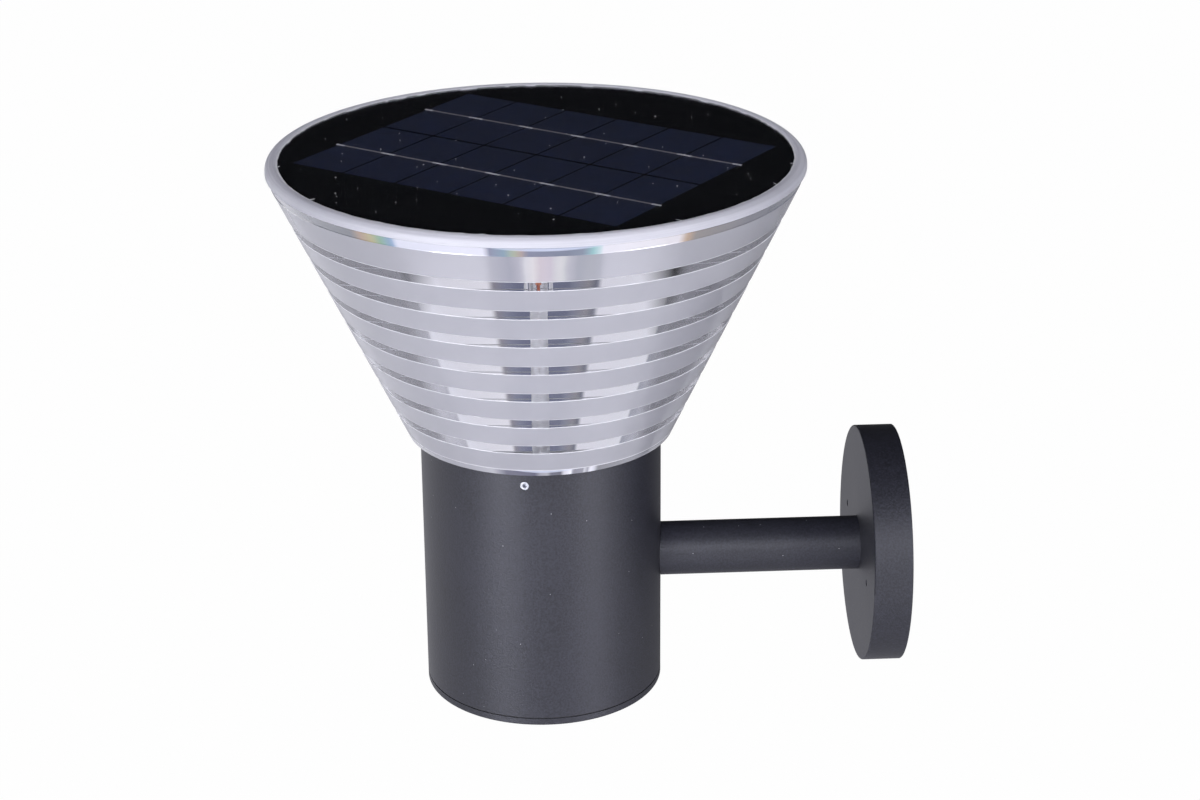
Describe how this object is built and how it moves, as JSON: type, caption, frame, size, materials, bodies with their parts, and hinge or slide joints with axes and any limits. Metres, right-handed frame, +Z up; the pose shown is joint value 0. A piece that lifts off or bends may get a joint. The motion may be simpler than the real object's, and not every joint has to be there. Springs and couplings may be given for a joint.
{
  "type": "solar wall light",
  "caption": "Solar wall light with a banded clear cone diffuser under a round solar panel, on a tube body with a side arm and round wall plate.",
  "frame": {"origin": "centre of the wall bracket's back face, on the wall plane and on the arm's axis", "axes": "+X points into the wall along the arm, +Z is up along the lamp body, +Y is across"},
  "size_m": [0.227, 0.19, 0.2042],
  "materials": {
    "clear_acrylic": "clear cast acrylic, polished grooves between frosted bands",
    "panel_clear": "clear laminate over the solar cells",
    "solar_cell": "dark blue silicon cells under a nitride coating",
    "silver_ribbon": "tinned copper ribbon",
    "black_board": "black solder resist on glass fibre board",
    "white_film": "white reflective sheet",
    "clear_sealant": "translucent silicone",
    "solder": "solder",
    "sleeve_orange": "heat-shrink sleeve",
    "wire_red": "wire insulation",
    "wire_black": "wire insulation",
    "bare_aluminium": "machined aluminium",
    "steel_zinc": "zinc plated steel",
    "steel_black": "blackened steel",
    "black_rubber": "EPDM and silicone seals",
    "white_board": "white solder resist on aluminium board",
    "led_phosphor": "light emitting chip with yellow phosphor",
    "anthracite_paint": "anthracite fine-texture powder coat on aluminium",
    "button_rubber": "moulded push button",
    "green_board": "green circuit board",
    "black_plastic": "moulded black plastic",
    "white_plastic": "moulded white plastic",
    "cell_wrap": "shrink-wrapped lithium cell"
  },
  "bodies": {
    "lamp": {"diffuser_cone": "clear_acrylic", "panel_cover": "panel_clear", "solar_cells": "solar_cell", "cell_ribbons": "silver_ribbon", "panel_board": "black_board", "reflector_film": "white_film", "panel_sealant": "clear_sealant", "panel_terminals": "solder", "wire_sleeves": "sleeve_orange", "panel_wire_red": "wire_red", "panel_wire_black": "wire_black", "diffuser_collar": "bare_aluminium", "diffuser_screws": "steel_zinc", "diffuser_gasket": "black_rubber", "led_board": "white_board", "led_chips": "led_phosphor", "led_reflector": "white_film", "grub_screws": "steel_zinc", "led_wires": "wire_red", "body_tube": "anthracite_paint", "cap_gasket": "black_rubber", "bottom_cap": "anthracite_paint", "cap_screws": "steel_zinc", "switch_housing": "black_plastic", "controller_board": "green_board", "board_screws": "steel_zinc", "board_components": "black_plastic", "board_connectors": "white_plastic", "battery_cells": "cell_wrap", "battery_holder": "black_plastic", "battery_wires": "wire_red", "arm_tube": "anthracite_paint", "arm_inserts": "bare_aluminium", "arm_body_bolt": "steel_zinc", "saddle_washer": "bare_aluminium", "arm_plate_bolt": "steel_zinc", "plate_washer": "steel_zinc", "wall_plate": "anthracite_paint", "plate_set_screws": "steel_black", "bracket_pillars": "steel_zinc", "mounting_bracket": "steel_zinc", "wall_gasket": "black_rubber"},
    "button": {"power_button": "button_rubber", "button_oring": "black_rubber", "switch_plunger": "white_plastic"}
  },
  "joints": [
    {"name": "power_button_slide", "type": "slide", "parent": "lamp", "child": "button", "axis": [0, 0, 1], "range_m": [0, 0.0015], "stiffness_N_per_m": 400, "springref_m": -0.002}
  ]
}
